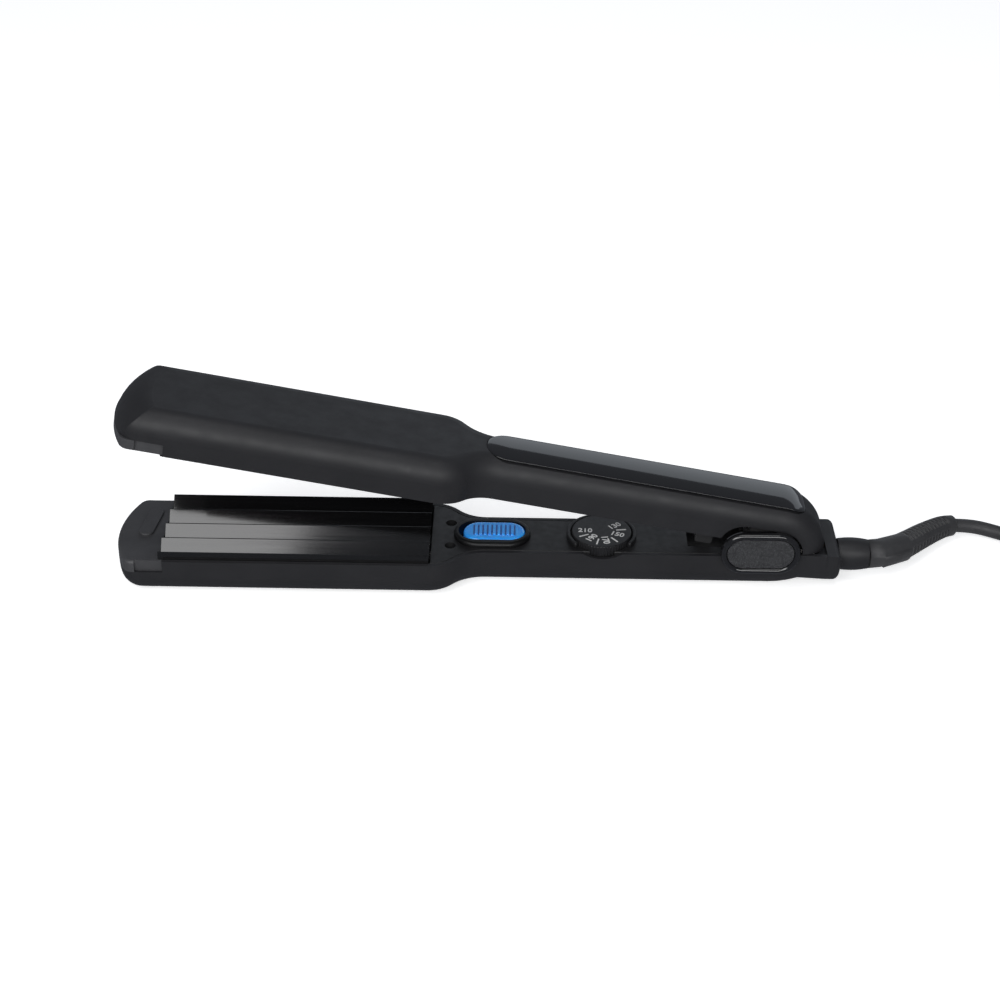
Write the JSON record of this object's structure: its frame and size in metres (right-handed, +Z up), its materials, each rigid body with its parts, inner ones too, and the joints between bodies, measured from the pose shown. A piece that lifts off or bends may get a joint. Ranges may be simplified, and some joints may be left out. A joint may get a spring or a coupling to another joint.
{
  "type": "hair crimper",
  "caption": "Corded hair crimper with two hinged arms, zigzag heated plates, a slide switch, a temperature dial, a swivel cord and a mains plug.",
  "frame": {"origin": "on the resting surface, straight below the hinge pin, at the centre of the lower arm's flat underside", "axes": "+X runs along the iron from the tips to the cord, +Y across it along the hinge pin, +Z up from the resting surface"},
  "size_m": [0.5002, 0.0618, 0.0761],
  "materials": {
    "casing": "soft-touch matt black",
    "gloss": "polished black",
    "badge_panel": "fine textured black",
    "dial": "satin black with white numbers",
    "button": "translucent blue",
    "plate": "gloss black ceramic coating on aluminium",
    "ceramic": "white alumina",
    "mica": "silvery brown mica",
    "carrier": "glass-filled heat-proof plastic",
    "steel": "plain steel",
    "screw": "black zinc",
    "bush": "sintered bronze",
    "lead_wire": "white silicone sleeve",
    "board": "green solder mask",
    "component": "moulded black",
    "lamp": "clear blue",
    "cord_rubber": "matt black",
    "plug_rubber": "satin black",
    "pin_metal": "nickel plated",
    "tie": "soft matt black strap"
  },
  "bodies": {
    "lower_arm": {"board_components": "component", "circuit_board": "board", "dial_guard": "casing", "far_badge_panel": "badge_panel", "far_badge_ring": "gloss", "hinge_nut": "steel", "hinge_pin": "steel", "hinge_spring": "steel", "indicator_lamp": "lamp", "lower_cover_screws": "screw", "lower_heater": "ceramic", "lower_heater_leads": "lead_wire", "lower_inner_cover": "casing", "lower_leaf_spring": "steel", "lower_mica_sheet": "mica", "lower_outer_shell": "casing", "lower_plate": "plate", "lower_plate_carrier": "carrier", "lower_thermal_fuse": "steel", "lower_tip_cap": "casing", "lower_tip_pad": "casing", "mains_leads": "lead_wire", "near_badge_panel": "badge_panel", "near_badge_ring": "gloss", "potentiometer": "component", "power_switch": "component", "rear_cord_block": "casing", "switch_bezel": "casing", "swivel_retainer": "bush"},
    "upper_arm": {"upper_outer_shell": "casing", "gloss_inlay": "gloss", "upper_inner_cover": "casing", "upper_tip_cap": "casing", "upper_cover_screws": "screw", "upper_plate": "plate", "upper_plate_carrier": "carrier", "upper_heater": "ceramic", "upper_mica_sheet": "mica", "upper_leaf_spring": "steel", "upper_thermal_fuse": "steel", "upper_heater_leads": "lead_wire", "upper_hinge_block": "carrier", "hinge_bushes": "bush"},
    "power_button": {"power_button": "button"},
    "temperature_dial": {"temperature_dial": "dial"},
    "cord_swivel": {"swivel_sleeve": "casing", "strain_relief_boot": "cord_rubber", "power_cord": "cord_rubber", "cord_hank": "cord_rubber", "cord_tie": "tie", "power_cord_tail": "cord_rubber", "plug_strain_relief": "plug_rubber", "plug_body": "plug_rubber", "plug_pins": "pin_metal"}
  },
  "joints": [
    {"name": "arm_hinge", "type": "hinge", "parent": "lower_arm", "child": "upper_arm", "pos_m": [0, 0, 0.017], "axis": [0, 1, 0], "range_deg": [-10.95, 0], "stiffness_Nm_per_rad": 1.2, "springref_deg": 33.23},
    {"name": "power_slide", "type": "slide", "parent": "lower_arm", "child": "power_button", "axis": [-1, 0, 0], "range_m": [0, 0.0016]},
    {"name": "dial_turn", "type": "hinge", "parent": "lower_arm", "child": "temperature_dial", "pos_m": [-0.0585, 0.0002, 0.0167], "axis": [0, 0, 1], "range_deg": [0, 270]},
    {"name": "cord_swivel_turn", "type": "hinge", "parent": "lower_arm", "child": "cord_swivel", "pos_m": [0.035, 0, 0.0084], "axis": [1, 0, 0], "continuous": true}
  ]
}
